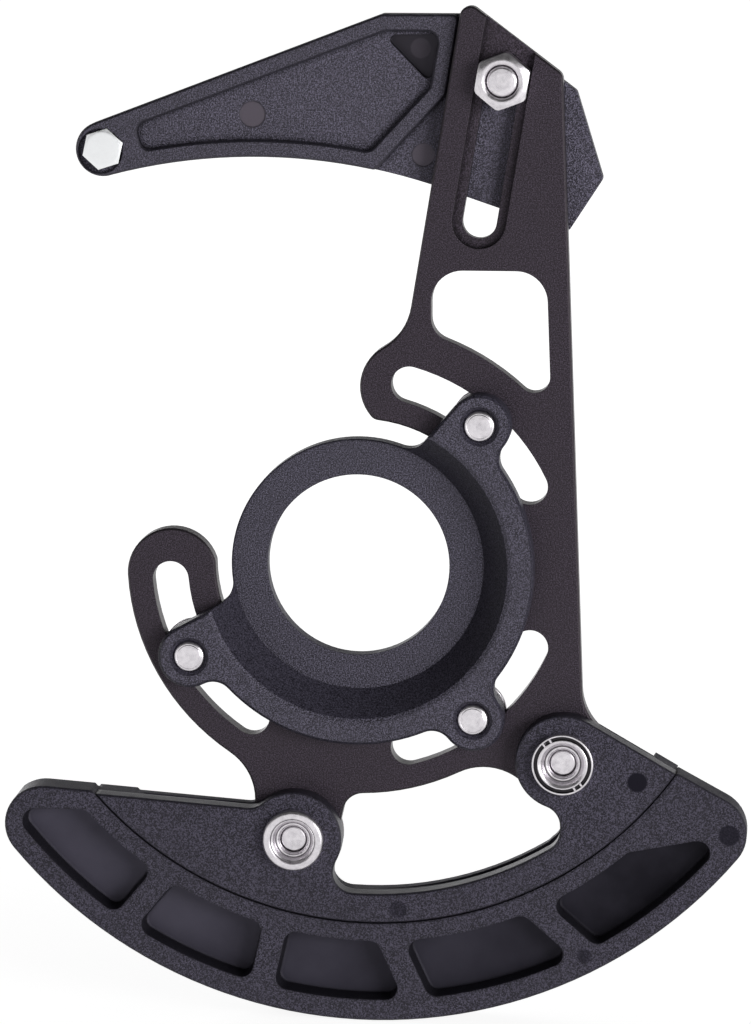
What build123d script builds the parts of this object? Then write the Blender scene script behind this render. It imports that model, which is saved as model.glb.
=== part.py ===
from build123d import *
from math import cos, radians, sin, sqrt, tan
import os

# Chain guide for a bicycle crank, seen from the frame side: X right, Z up, Y away from the frame.
# The origin is the centre of the bottom bracket bore, on the face that seats on the shell. Sizes in mm.

# Fits between pieces
bolt_clearance = 0.25
thread_clearance = 0.05
nut_clearance = 0.1
dish_clearance = 0.3
guide_clearance = 0.2
seam_clearance = 0.15
tab_clearance = 0.45

# Bottom bracket adapter
bore_diameter = 35.0
ring_diameter = 48.8
ring_thickness = 3.5
dish_depth = 6.0
dish_foot_width = 6.6
dish_shoulder = 3.0
flange_width = 4.7
flange_thickness = 4.5
lug_radius = 6.0
lug_neck_radius = 4.0
lug_hole_chamfer = 0.7
lug_hole_land = 3.45
adapter_edge = 0.5
adapter_bolt_circle = 73.0
adapter_bolt_angles = (49.8, -52.0, -151.5)

# Backplate
plate_thickness = 4.0
band_radius = 35.8
band_width = 17.4
band_overruns = (0.9, 1.8)
eye_radius = 28.0
eye_shift = (0.6, 0.4)
arc_slot_width = 6.9
arc_slot_centres = (50.0, 310.4, 210.2)
arc_slot_spans = (48.6, 49.5, 50.6)
arc_slot_insets = (0.0, 0.0, 0.3)
arm_lean = 9.4
arm_foot_x = 10.7
arm_foot_height = 53.2
arm_overrun = 13.5
arm_top_slope = 37.0
arm_right_x = 38.7
arm_right_lean = 2.15
arm_right_foot_height = -25.0
arm_tip_radius = 2.0
plate_fillet = 11.0
neck_fillet = 4.0
neck_inset = 1.2
tab_radius = 9.0
plate_edge = 0.35

# Height slot in the arm, with a sunk track for the nut
height_slot_width = 6.5
height_slot_inset = 10.2
height_slot_wall = 6.0
height_slot_length = 29.0
nut_track_depth = 1.6
nut_track_length = 45.0
guide_bolt_travel = 27.0

# Window in the arm
window_left = 14.0
window_right_wall = 4.2
window_height = 12.2
window_band_wall = 2.4
window_top_fillet = 6.0
window_left_fillet = 4.5
window_right_fillet = 3.0

# Upper guide, two moulded halves on either side of the chain, with its points given from the clamp bolt
guide_tip = (-76.3, -13.6)
guide_tip_radius = 5.2
guide_top_slope = 20.8
guide_crest_x = -23.0
guide_right_shoulder = (13.7, -2.1)
guide_right_low = (18.8, -18.6)
guide_right_foot = (12.2, -28.8)
guide_belly_start = (-13.7, -20.0)
guide_belly_mid = (-48.5, -14.9)
guide_belly_end_angle = -80.0
guide_corner_radius = 1.2
guide_wall = 3.0
guide_rim_height = 2.0
guide_rim_width = 3.2
guide_floor_depth = 1.7
guide_floor_corner_radius = 2.0
guide_tip_land = 7.2
guide_shoulder_rise = -2.9
guide_shoulder_slope = 47.0
guide_pocket_corners = ((-22.9, 8.2), (-12.4, 8.5), (-13.9, -1.0))
guide_pocket_fillet = 1.0
guide_pocket_depth = 1.9
tip_recess_radius = 4.3
tip_recess_shift = (-0.45, -0.4)
tip_recess_depth = 1.2
guide_edge = 0.4
floor_mark = (-47.8, -6.9)
floor_mark_radius = 2.5
mount_mark = (-15.3, -14.4)
mount_mark_radius = 2.2
mark_depth = 0.2
channel_width = 10.0
outer_inset = 3.0
outer_roof = 2.4
outer_tip_radius = 3.4
outer_boss_radius = 7.0

# Bash guard under the chainring
bash_centre = (3.0, 2.0)
tab_length = 9.7
bash_bolt_angles = (-102.8, -42.8)
skid_width = 19.2
bash_tip_radius = 7.5
skid_left_step = 0.6
skid_left_slope = -4.2
skid_right_step = -0.2
skid_right_slope = -28.6
clamp_left_rise = 5.2
clamp_left_slope = -4.3
clamp_right_slope = -30.0
clamp_thickness = 4.0
ear_radius = 9.2
ear_fillet = 4.0
opening_left = 7.3
opening_right = -0.5
opening_lip = 0.9
opening_corner_radius = 4.4
skid_depth = 6.4
ledge_width = 4.9
rear_gap = 1.0
rear_wall = 2.4
rear_inset = (-1.0, -0.9)
rear_boss_radius = 8.0
pocket_rim = 3.4
pocket_outer_rim = 4.1
pocket_depth = 4.6
pocket_draft = 5.0
pocket_corner_radius = 2.4
pocket_left_drop = 0.8
pocket_right_drop = 27.4
pocket_right_slope = 11.0
rib_width = 4.6
rib_angles = (-33.3, -14.4, 4.5, 27.0)
rib_leans = (-40.0, -13.0, 24.5, 49.0)
bash_edge = 0.3

# Fasteners
m6_radius = 3.0
m6_head_radius = 5.25
m6_head_height = 3.3
m6_head_crown = 2.2
m6_socket = 4.0
m6_socket_depth = 2.0
m6_washer_radius = 6.0
m6_washer_thickness = 1.2
m6_nut_flats = 10.0
m6_nut_height = 5.0
m6_end_recess = 0.4
m4_radius = 2.0
m4_head_flats = 7.0
m4_head_height = 2.8
m4_head_turn = 17.8
m4_pocket_depth = 2.6
m5_radius = 2.5
m5_head_radius = 4.75
m5_head_height = 2.75
m5_head_crown = 1.8
m5_socket = 3.0
m5_socket_depth = 1.6
m5_washer_radius = 5.0
m5_washer_thickness = 1.0
sleeve_radius = 3.7
sleeve_short = 0.5
sleeve_flange_radius = 5.9
sleeve_flange_height = 2.0
sleeve_cup_radius = 3.6
sleeve_cup_depth = 0.8
sleeve_notch_width = 1.5
sleeve_notch_turn = 20.0
sleeve_end_recess = 0.5
fastener_edge = 0.4

# Depths of the faces, worked out from the sizes above
flange_front = -dish_depth
plate_front = flange_front + flange_thickness
plate_back = plate_front + plate_thickness
rim_front = plate_back - guide_rim_height
guide_back = plate_back + guide_wall
channel_back = guide_back + channel_width
outer_back = channel_back + guide_wall
clamp_front = plate_front - clamp_thickness
skid_back = clamp_front + skid_depth
rear_front = plate_back + rear_gap
bash_back = rear_front + rear_wall
nut_seat = plate_front + nut_track_depth
sleeve_front = clamp_front - sleeve_flange_height
far = 150.0


def facing(depth):
    """Sketch plane at depth Y that faces the frame side, with sketch x to the right and y up."""
    return Plane.XZ.offset(-depth)


def arm_left_x(height):
    """X of the arm's straight left edge at a height."""
    return arm_foot_x + (height - arm_foot_height) * tan(radians(arm_lean))


def arm_right_edge_x(height):
    """X of the arm's straight right edge at a height."""
    return arm_right_x + (arm_right_height - height) * tan(radians(arm_right_lean))


def on_line(point, slope, x):
    """Point at x on the straight line through a point, at a slope in degrees."""
    start = Vector(*point)
    return (x, start.Y + (x - start.X) * tan(radians(slope)))


def from_bolt(offset):
    """Point of the upper guide that lies at an offset from its clamp bolt."""
    return (guide_bolt_at.X + offset[0], guide_bolt_at.Y + offset[1])


def round_inside(radius):
    """Rounds the inside corners of the sketch being drawn."""
    offset(amount=radius)
    offset(amount=-radius)


def round_outside(radius):
    """Rounds the outside corners of the sketch being drawn."""
    offset(amount=-radius)
    offset(amount=radius)


def bolts(points, seat, tip, radius, head_radius, head_height, head_crown, socket, socket_depth):
    """Adds button-head bolts whose heads sit at depth seat and whose shanks end at depth tip."""
    with BuildSketch(facing(seat)) as heads:
        with Locations(*points):
            Circle(head_radius)
    extrude(heads.sketch, amount=-head_height)
    fillet(edges().group_by(Axis.Y)[-1], head_crown)
    with BuildSketch(facing(seat)) as shanks:
        with Locations(*points):
            Circle(radius)
    extrude(shanks.sketch, amount=seat - tip)
    chamfer(edges().group_by(Axis.Y)[0], fastener_edge)
    with BuildSketch(facing(seat + head_height)) as sockets:
        with Locations(*points):
            RegularPolygon(socket / 2, 6, major_radius=False)
    extrude(sockets.sketch, amount=socket_depth, mode=Mode.SUBTRACT)


# Points and radii shared by several pieces
pitch_radius = adapter_bolt_circle / 2
bore_radius = bore_diameter / 2
ring_radius = ring_diameter / 2
mouth_radius = pitch_radius - m6_radius - thread_clearance - lug_hole_chamfer - lug_hole_land
flange_radius = mouth_radius + flange_width
band_outer_radius = band_radius + band_width / 2
dish_outer_radius = eye_radius - Vector(*eye_shift).length - dish_clearance
nut_track_width = m6_nut_flats + 2 * nut_clearance
window_arc_radius = band_outer_radius + window_band_wall
window_top = sqrt(window_arc_radius**2 - window_left**2) + window_height
slot_turn = 90 - arm_lean
slot_foot_height = window_top + height_slot_wall + height_slot_width / 2
slot_foot = Vector(arm_left_x(slot_foot_height) + height_slot_inset, slot_foot_height)
slot_rise = Vector(cos(radians(slot_turn)), sin(radians(slot_turn)))
arm_height = slot_foot_height + slot_rise.Y * height_slot_length + arm_overrun
guide_bolt_at = slot_foot + slot_rise * guide_bolt_travel
guide_tip_at = from_bolt(guide_tip)
adapter_bolts_at = [Vector(pitch_radius, 0).rotate(Axis.Z, angle) for angle in adapter_bolt_angles]
bash_bolts_at = [
    Vector(band_outer_radius + tab_length, 0).rotate(Axis.Z, angle) for angle in bash_bolt_angles
]
left_ear, right_ear = bash_bolts_at
tab_reach = (left_ear - Vector(*bash_centre)).length + tab_radius
ledge_radius = tab_reach + tab_clearance
bash_inner_radius = ledge_radius - opening_lip
bash_seam_radius = ledge_radius + ledge_width
bash_outer_radius = bash_seam_radius + skid_width

# Bottom bracket adapter: a dished ring with a three-lug flange, moulded in one piece
with BuildPart() as bb_adapter:
    with BuildSketch(Plane.XY):
        with BuildLine():
            Polyline(
                (bore_radius, 0),
                (bore_radius + dish_foot_width, 0),
                (mouth_radius, flange_front),
                (pitch_radius + lug_radius, flange_front),
                (pitch_radius + lug_radius, plate_front),
                (dish_outer_radius, plate_front),
                (dish_outer_radius, ring_thickness - dish_shoulder),
                (ring_radius, ring_thickness),
                (bore_radius, ring_thickness),
                close=True,
            )
        make_face()
    revolve(axis=Axis.Y)
    with BuildSketch(facing(ring_thickness)):
        with BuildLine():
            flange_span = adapter_bolt_angles[0] - adapter_bolt_angles[2]
            flange_rim = CenterArc((0, 0), flange_radius, adapter_bolt_angles[2], flange_span)
            Polyline(flange_rim @ 1, (0, 0), flange_rim @ 0)
        make_face()
        Circle(ring_radius)
        for bolt, angle in zip(adapter_bolts_at, adapter_bolt_angles):
            with Locations(bolt / 2):
                SlotCenterToCenter(pitch_radius, 2 * lug_radius, rotation=angle)
        round_inside(lug_neck_radius)
    extrude(amount=ring_thickness - flange_front, mode=Mode.INTERSECT)
    chamfer(edges().group_by(Axis.Y)[0], adapter_edge)
    with BuildSketch(facing(plate_front)):
        with Locations(*adapter_bolts_at):
            Circle(m6_radius + thread_clearance)
    extrude(amount=flange_thickness, mode=Mode.SUBTRACT)
    lug_hole_mouths = edges().group_by(Axis.Y)[0].filter_by(GeomType.CIRCLE)
    chamfer(lug_hole_mouths.sort_by(SortBy.RADIUS)[: len(adapter_bolts_at)], lug_hole_chamfer)

# Backplate: flat aluminium plate, a band round the bottom bracket with an arm above and two tabs below
arm_right_height = arm_height - (arm_right_x - arm_left_x(arm_height)) * tan(radians(arm_top_slope))
arm_right_foot_x = arm_right_edge_x(arm_right_foot_height)
band_start = arc_slot_centres[2] - arc_slot_spans[2] / 2 - band_overruns[1]
band_span = 360 + arc_slot_centres[0] + arc_slot_spans[0] / 2 + band_overruns[0] - band_start
band_line = CenterArc((0, 0), band_radius, band_start, band_span)
arc_slot_lines = [
    CenterArc((0, 0), pitch_radius - inset, centre - span / 2, span)
    for centre, span, inset in zip(arc_slot_centres, arc_slot_spans, arc_slot_insets)
]
neck_half_width = tab_radius - neck_inset
neck_right = Vector(sqrt(band_outer_radius**2 - neck_half_width**2), neck_half_width)
neck_left = Vector(sqrt(band_outer_radius**2 - tab_radius**2), -tab_radius)
with BuildSketch() as plate_outline:
    SlotArc(band_line, band_width)
    Polygon(
        (arm_right_x, arm_right_height),
        (arm_right_foot_x, arm_right_foot_height),
        (far, arm_right_foot_height),
        (far, arm_right_height),
        align=None,
        mode=Mode.SUBTRACT,
    )
    Polygon(
        (arm_left_x(arm_height), arm_height),
        (arm_right_x, arm_right_height),
        (arm_right_foot_x, arm_right_foot_height),
        (0, 0),
        (arm_left_x(pitch_radius), pitch_radius),
        align=None,
    )
    with Locations(right_ear * (0.5 + pitch_radius / right_ear.length / 2)):
        Rectangle(right_ear.length - pitch_radius, 2 * tab_radius, rotation=bash_bolt_angles[1])
    with Locations(right_ear):
        Circle(tab_radius)
    with Locations(eye_shift):
        Circle(eye_radius, mode=Mode.SUBTRACT)
    round_inside(plate_fillet)
    round_outside(arm_tip_radius)
    neck_side = Vector(0, -neck_inset / 2).rotate(Axis.Z, bash_bolt_angles[0])
    with Locations(left_ear * (0.5 + pitch_radius / left_ear.length / 2) + neck_side):
        Rectangle(left_ear.length - pitch_radius, 2 * tab_radius - neck_inset, rotation=bash_bolt_angles[0])
    with Locations(left_ear):
        Circle(tab_radius)
    for corner, radius in ((neck_right, neck_fillet), (neck_left, plate_fillet)):
        corner_at = corner.rotate(Axis.Z, bash_bolt_angles[0])
        fillet(plate_outline.vertices().sort_by_distance(corner_at)[0], radius)

with BuildPart() as backplate:
    with BuildSketch(facing(plate_back)):
        add(plate_outline.sketch)
    extrude(amount=plate_thickness)
    chamfer(faces().filter_by(Axis.Y).edges(), plate_edge)
    with BuildSketch(facing(plate_back)):
        for slot_line in arc_slot_lines:
            SlotArc(slot_line, arc_slot_width)
        with Locations(slot_foot + slot_rise * height_slot_length / 2):
            SlotCenterToCenter(height_slot_length, height_slot_width, rotation=slot_turn)
        with Locations(*bash_bolts_at):
            Circle(sleeve_radius + bolt_clearance)
    extrude(amount=plate_thickness, mode=Mode.SUBTRACT)
    with BuildSketch(facing(plate_back)) as window:
        Polygon(
            (window_left, 0),
            (window_left, window_top),
            (arm_right_edge_x(window_top) - window_right_wall, window_top),
            (arm_right_edge_x(0) - window_right_wall, 0),
            align=None,
        )
        Circle(window_arc_radius, mode=Mode.SUBTRACT)
        fillet(window.vertices().group_by(Axis.Y)[-1], window_top_fillet)
        fillet(window.vertices().sort_by(Axis.Y)[1], window_left_fillet)
        fillet(window.vertices().sort_by(Axis.Y)[0], window_right_fillet)
    extrude(amount=plate_thickness, mode=Mode.SUBTRACT)
    with BuildSketch(facing(plate_front)):
        with Locations(slot_foot + slot_rise * nut_track_length / 2):
            SlotCenterToCenter(nut_track_length, nut_track_width, rotation=slot_turn)
    extrude(amount=-nut_track_depth, mode=Mode.SUBTRACT)

# Bolts and washers that hold the backplate to the adapter's lugs through the arc slots
with BuildPart() as adapter_washers:
    with BuildSketch(facing(plate_back + m6_washer_thickness)):
        with Locations(*adapter_bolts_at):
            Circle(m6_washer_radius)
            Circle(m6_radius + bolt_clearance, mode=Mode.SUBTRACT)
    extrude(amount=m6_washer_thickness)

with BuildPart() as adapter_bolts:
    bolts(
        adapter_bolts_at,
        plate_back + m6_washer_thickness,
        flange_front,
        m6_radius,
        m6_head_radius,
        m6_head_height,
        m6_head_crown,
        m6_socket,
        m6_socket_depth,
    )

# Outline of the upper guide's side plates
tip_x, tip_height = guide_tip_at
top_start = (
    tip_x - guide_tip_radius * sin(radians(guide_top_slope)),
    tip_height + guide_tip_radius * cos(radians(guide_top_slope)),
)
right_shoulder = from_bolt(guide_right_shoulder)
crest = on_line(top_start, guide_top_slope, guide_bolt_at.X + guide_crest_x)
crest_right_x = right_shoulder[0] - (crest[1] - right_shoulder[1]) / tan(radians(arm_top_slope))
belly_start = from_bolt(guide_belly_start)
belly_end = (
    tip_x + guide_tip_radius * cos(radians(guide_belly_end_angle)),
    tip_height + guide_tip_radius * sin(radians(guide_belly_end_angle)),
)
with BuildSketch() as guide_outline:
    with BuildLine():
        Polyline(
            top_start,
            crest,
            (crest_right_x, crest[1]),
            right_shoulder,
            from_bolt(guide_right_low),
            from_bolt(guide_right_foot),
            belly_start,
        )
        ThreePointArc(belly_start, from_bolt(guide_belly_mid), belly_end)
        Line(belly_end, top_start)
    make_face()
    with Locations(guide_tip_at):
        Circle(guide_tip_radius)
    round_outside(guide_corner_radius)

# The raised rim stops at a shoulder that lies along the arm's left edge and then runs down to the left
shoulder_height = guide_bolt_at.Y + guide_shoulder_rise
shoulder_corner = (arm_left_x(shoulder_height) - guide_clearance, shoulder_height)
shoulder_foot_x = shoulder_corner[0] - (shoulder_height + far) / tan(radians(guide_shoulder_slope))
with BuildSketch() as rim_outline:
    add(guide_outline.sketch)
    Polygon(
        (arm_left_x(far) - guide_clearance, far),
        shoulder_corner,
        (shoulder_foot_x, -far),
        (-2 * far, -far),
        (-2 * far, far),
        align=None,
        mode=Mode.INTERSECT,
    )
    round_outside(guide_corner_radius)

# Inner half of the upper guide: plate behind the arm, with a raised rim round a sunk floor
with BuildPart() as upper_guide_inner:
    with BuildSketch(facing(guide_back)):
        add(guide_outline.sketch)
    extrude(amount=guide_wall)
    with BuildSketch(facing(plate_back)):
        add(rim_outline.sketch)
    extrude(amount=guide_rim_height)
    with BuildSketch(facing(rim_front)):
        add(rim_outline.sketch)
        offset(amount=-guide_rim_width)
        with Locations(guide_tip_at):
            Circle(guide_tip_land, mode=Mode.SUBTRACT)
        round_outside(guide_floor_corner_radius)
    extrude(amount=-guide_floor_depth, mode=Mode.SUBTRACT)
    chamfer(faces().sort_by(Axis.Y)[0].edges(), guide_edge)
    with BuildSketch(facing(rim_front + guide_floor_depth)) as guide_pocket:
        Polygon(*[from_bolt(corner) for corner in guide_pocket_corners], align=None)
        fillet(guide_pocket.vertices(), guide_pocket_fillet)
    extrude(amount=-guide_pocket_depth, mode=Mode.SUBTRACT)
    with BuildSketch(facing(guide_back)):
        with Locations(guide_bolt_at):
            Circle(m6_radius + bolt_clearance)
        with Locations(guide_tip_at):
            Circle(m4_radius + bolt_clearance)
    extrude(amount=guide_wall + guide_rim_height, mode=Mode.SUBTRACT)
    with BuildSketch(facing(rim_front)):
        with Locations(guide_tip_at):
            RegularPolygon(m4_head_flats / 2 + nut_clearance, 6, major_radius=False, rotation=m4_head_turn)
    extrude(amount=-m4_pocket_depth, mode=Mode.SUBTRACT)
    with BuildSketch(facing(rim_front)):
        with Locations(Vector(*guide_tip_at) + Vector(*tip_recess_shift)):
            Circle(tip_recess_radius)
    extrude(amount=-tip_recess_depth, mode=Mode.SUBTRACT)
    with BuildSketch(facing(rim_front + guide_floor_depth)):
        with Locations(from_bolt(floor_mark)):
            Circle(floor_mark_radius)
    extrude(amount=-mark_depth, mode=Mode.SUBTRACT)
    with BuildSketch(facing(plate_back)):
        with Locations(from_bolt(mount_mark)):
            Circle(mount_mark_radius)
    extrude(amount=-mark_depth, mode=Mode.SUBTRACT)

# Outer half of the upper guide: plate with a roof and two bosses that meet the inner half over the chain
with BuildSketch() as outer_outline:
    add(guide_outline.sketch)
    offset(amount=-outer_inset)
    with Locations(guide_tip_at):
        Circle(outer_tip_radius)
with BuildPart() as upper_guide_outer:
    with BuildSketch(facing(outer_back)):
        add(outer_outline.sketch)
    extrude(amount=guide_wall)
    chamfer(faces().sort_by(Axis.Y)[-1].edges(), guide_edge)
    with BuildSketch(facing(channel_back)):
        add(outer_outline.sketch)
        add(outer_outline.sketch.moved(Location((0, -outer_roof))), mode=Mode.SUBTRACT)
        with Locations(guide_tip_at):
            Circle(outer_tip_radius)
        with Locations(guide_bolt_at):
            Circle(outer_boss_radius)
        add(outer_outline.sketch, mode=Mode.INTERSECT)
    extrude(amount=channel_width)
    with BuildSketch(facing(outer_back)):
        with Locations(guide_bolt_at):
            Circle(m6_radius + bolt_clearance)
        with Locations(guide_tip_at):
            Circle(m4_radius + thread_clearance)
    extrude(amount=guide_wall + channel_width, mode=Mode.SUBTRACT)

# Bolt, washer and nut that clamp both guide halves to the arm's height slot
with BuildPart() as upper_clamp_washer:
    with BuildSketch(facing(outer_back + m6_washer_thickness)):
        with Locations(guide_bolt_at):
            Circle(m6_washer_radius)
            Circle(m6_radius + bolt_clearance, mode=Mode.SUBTRACT)
    extrude(amount=m6_washer_thickness)

with BuildPart() as upper_clamp_bolt:
    bolts(
        [guide_bolt_at],
        outer_back + m6_washer_thickness,
        nut_seat - m6_nut_height + m6_end_recess,
        m6_radius,
        m6_head_radius,
        m6_head_height,
        m6_head_crown,
        m6_socket,
        m6_socket_depth,
    )

with BuildPart() as upper_clamp_nut:
    with BuildSketch(facing(nut_seat)):
        with Locations(guide_bolt_at):
            RegularPolygon(m6_nut_flats / 2, 6, major_radius=False, rotation=slot_turn)
    extrude(amount=m6_nut_height)
    with BuildSketch(facing(nut_seat)):
        with Locations(guide_bolt_at):
            Circle(m6_nut_flats / 2 + m6_nut_height / tan(radians(30)))
    extrude(amount=m6_nut_height, taper=60, mode=Mode.INTERSECT)
    with BuildSketch(facing(nut_seat)):
        with Locations(guide_bolt_at):
            Circle(m6_radius + thread_clearance)
    extrude(amount=m6_nut_height, mode=Mode.SUBTRACT)

# Hex bolt at the guide's tip, its head held in a hex pocket, screwed into the outer half's boss
with BuildPart() as guide_tip_bolt:
    with BuildSketch(facing(rim_front + m4_pocket_depth)):
        with Locations(guide_tip_at):
            RegularPolygon(m4_head_flats / 2, 6, major_radius=False, rotation=m4_head_turn)
    extrude(amount=m4_head_height)
    chamfer(edges().group_by(Axis.Y)[0], fastener_edge / 2)
    with BuildSketch(facing(outer_back)):
        with Locations(guide_tip_at):
            Circle(m4_radius)
    extrude(amount=outer_back - rim_front - m4_pocket_depth)

# Outlines of the bash guard: its lower skid, the opening over it and the clamp plate with two ears
clamp_left = left_ear + Vector(0, clamp_left_rise)
clamp_right = right_ear + Vector(0, ear_radius).rotate(Axis.Z, clamp_right_slope)
skid_left = clamp_left + Vector(0, skid_left_step)
skid_right = clamp_right + Vector(0, skid_right_step)
with BuildSketch() as skid_outline:
    with Locations(bash_centre):
        Circle(bash_outer_radius)
    Polygon(
        on_line(skid_left, skid_left_slope, -far),
        skid_left,
        skid_right,
        on_line(skid_right, skid_right_slope, far),
        (far, -far),
        (-far, -far),
        align=None,
        mode=Mode.INTERSECT,
    )
    skid_tips = skid_outline.vertices().sort_by(Axis.X)
    fillet([skid_tips[0], skid_tips[-1]], bash_tip_radius)
    with Locations(bash_centre):
        Circle(bash_seam_radius, mode=Mode.SUBTRACT)

with BuildSketch() as bash_opening:
    with Locations(bash_centre):
        Circle(bash_inner_radius)
    Polygon(
        (left_ear.X + opening_left, 0),
        (right_ear.X + opening_right, 0),
        (right_ear.X + opening_right, -far),
        (left_ear.X + opening_left, -far),
        align=None,
        mode=Mode.INTERSECT,
    )
    fillet(bash_opening.vertices().sort_by(Axis.Y)[:2], opening_corner_radius)

with BuildSketch() as clamp_outline:
    with Locations(bash_centre):
        Circle(bash_seam_radius)
    Polygon(
        on_line(clamp_left, clamp_left_slope, -far),
        clamp_left,
        left_ear,
        right_ear,
        clamp_right,
        on_line(clamp_right, clamp_right_slope, far),
        (far, -far),
        (-far, -far),
        align=None,
        mode=Mode.INTERSECT,
    )
    add(bash_opening.sketch, mode=Mode.SUBTRACT)
    with Locations(left_ear, right_ear):
        Circle(ear_radius)
    round_inside(ear_fillet)

# The clamp plate rests on a ledge along the seam, and a rear wall covers both with a little less height
with BuildSketch() as ledge_outline:
    add(clamp_outline.sketch)
    with Locations(bash_centre):
        Circle(ledge_radius, mode=Mode.SUBTRACT)

with BuildSketch() as rear_outline:
    add(skid_outline.sketch)
    add(clamp_outline.sketch)
    round_inside(seam_clearance)
    add(rear_outline.sketch.moved(Location(rear_inset)), mode=Mode.INTERSECT)

# Bash guard body: skid with five sunk pockets, and a rear wall with bosses behind the backplate's tabs
with BuildSketch() as pocket_outline:
    add(skid_outline.sketch)
    offset(amount=-pocket_rim)
    with Locations(bash_centre):
        Circle(bash_outer_radius - pocket_outer_rim, mode=Mode.INTERSECT)
    pocket_right_top = (right_ear.X, skid_right.Y - pocket_right_drop)
    Polygon(
        (-far, skid_left.Y - pocket_left_drop),
        (bash_centre[0], skid_left.Y - pocket_left_drop),
        on_line(pocket_right_top, pocket_right_slope, bash_centre[0]),
        on_line(pocket_right_top, pocket_right_slope, far),
        (far, -far),
        (-far, -far),
        align=None,
        mode=Mode.INTERSECT,
    )
    rib_radius = (bash_outer_radius + bash_seam_radius) / 2
    for angle, lean in zip(rib_angles, rib_leans):
        with Locations(Vector(*bash_centre) + Vector(0, -rib_radius).rotate(Axis.Z, angle)):
            Rectangle(rib_width, rib_radius / 2, rotation=lean, mode=Mode.SUBTRACT)
    round_outside(pocket_corner_radius)

with BuildPart() as bash_body:
    with BuildSketch(facing(bash_back)):
        add(rear_outline.sketch)
    extrude(amount=rear_wall)
    with BuildSketch(facing(rear_front)):
        add(skid_outline.sketch)
        add(rear_outline.sketch, mode=Mode.INTERSECT)
    extrude(amount=rear_front - skid_back)
    with BuildSketch(facing(rear_front)):
        add(ledge_outline.sketch)
    extrude(amount=rear_front - plate_front)
    with BuildSketch(facing(skid_back)):
        add(skid_outline.sketch)
    extrude(amount=skid_depth)
    front_rim = faces().sort_by(Axis.Y)[0].edges()
    seam_edge = front_rim.sort_by_distance((bash_centre[0], clamp_front, bash_centre[1] - bash_seam_radius))[0]
    chamfer(front_rim - [seam_edge], bash_edge)
    with BuildSketch(facing(rear_front)):
        with Locations(left_ear, right_ear):
            Circle(rear_boss_radius)
    extrude(amount=rear_gap)
    with BuildSketch(facing(clamp_front)):
        add(pocket_outline.sketch)
    extrude(amount=-pocket_depth, taper=pocket_draft, mode=Mode.SUBTRACT)
    with BuildSketch(facing(bash_back)):
        with Locations(left_ear, right_ear):
            Circle(m5_radius + bolt_clearance)
    extrude(amount=rear_wall + rear_gap, mode=Mode.SUBTRACT)

# Bash guard clamp plate: crescent with two ears, on the frame side of the backplate's tabs
with BuildPart() as bash_clamp_plate:
    with BuildSketch(facing(plate_front)):
        add(clamp_outline.sketch)
        with Locations(bash_centre):
            Circle(bash_seam_radius - seam_clearance, mode=Mode.INTERSECT)
    extrude(amount=clamp_thickness)
    chamfer(faces().sort_by(Axis.Y)[0].edges(), bash_edge)
    with BuildSketch(facing(plate_front)):
        with Locations(left_ear, right_ear):
            Circle(sleeve_radius + bolt_clearance)
    extrude(amount=clamp_thickness, mode=Mode.SUBTRACT)

# Washers, bolts and flanged sleeve nuts that clamp the bash guard on the tabs
with BuildPart() as bash_washers:
    with BuildSketch(facing(bash_back + m5_washer_thickness)):
        with Locations(*bash_bolts_at):
            Circle(m5_washer_radius)
            Circle(m5_radius + bolt_clearance, mode=Mode.SUBTRACT)
    extrude(amount=m5_washer_thickness)

with BuildPart() as bash_bolts:
    bolts(
        bash_bolts_at,
        bash_back + m5_washer_thickness,
        sleeve_front + sleeve_cup_depth + sleeve_end_recess,
        m5_radius,
        m5_head_radius,
        m5_head_height,
        m5_head_crown,
        m5_socket,
        m5_socket_depth,
    )

with BuildPart() as bash_nuts:
    with BuildSketch(facing(plate_back - sleeve_short)):
        with Locations(*bash_bolts_at):
            Circle(sleeve_radius)
    extrude(amount=plate_back - sleeve_short - clamp_front)
    with BuildSketch(facing(clamp_front)):
        with Locations(*bash_bolts_at):
            Circle(sleeve_flange_radius)
    extrude(amount=sleeve_flange_height)
    chamfer(edges().group_by(Axis.Y)[0], fastener_edge)
    with BuildSketch(facing(sleeve_front)):
        with Locations(*bash_bolts_at):
            Circle(sleeve_cup_radius)
            Rectangle(2 * sleeve_flange_radius, sleeve_notch_width, rotation=sleeve_notch_turn)
    extrude(amount=-sleeve_cup_depth, mode=Mode.SUBTRACT)
    with BuildSketch(facing(plate_back)):
        with Locations(*bash_bolts_at):
            Circle(m5_radius + thread_clearance)
    extrude(amount=plate_back - sleeve_front, mode=Mode.SUBTRACT)

# Each piece to its own file
pieces = {
    "bb_adapter": bb_adapter,
    "backplate": backplate,
    "adapter_washers": adapter_washers,
    "adapter_bolts": adapter_bolts,
    "upper_guide_inner": upper_guide_inner,
    "upper_guide_outer": upper_guide_outer,
    "upper_clamp_washer": upper_clamp_washer,
    "upper_clamp_bolt": upper_clamp_bolt,
    "upper_clamp_nut": upper_clamp_nut,
    "guide_tip_bolt": guide_tip_bolt,
    "bash_body": bash_body,
    "bash_clamp_plate": bash_clamp_plate,
    "bash_washers": bash_washers,
    "bash_bolts": bash_bolts,
    "bash_nuts": bash_nuts,
}
os.makedirs("parts", exist_ok=True)
for name, piece in pieces.items():
    piece.part.label = name
    export_step(piece.part, f"parts/{name}.step")
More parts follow.
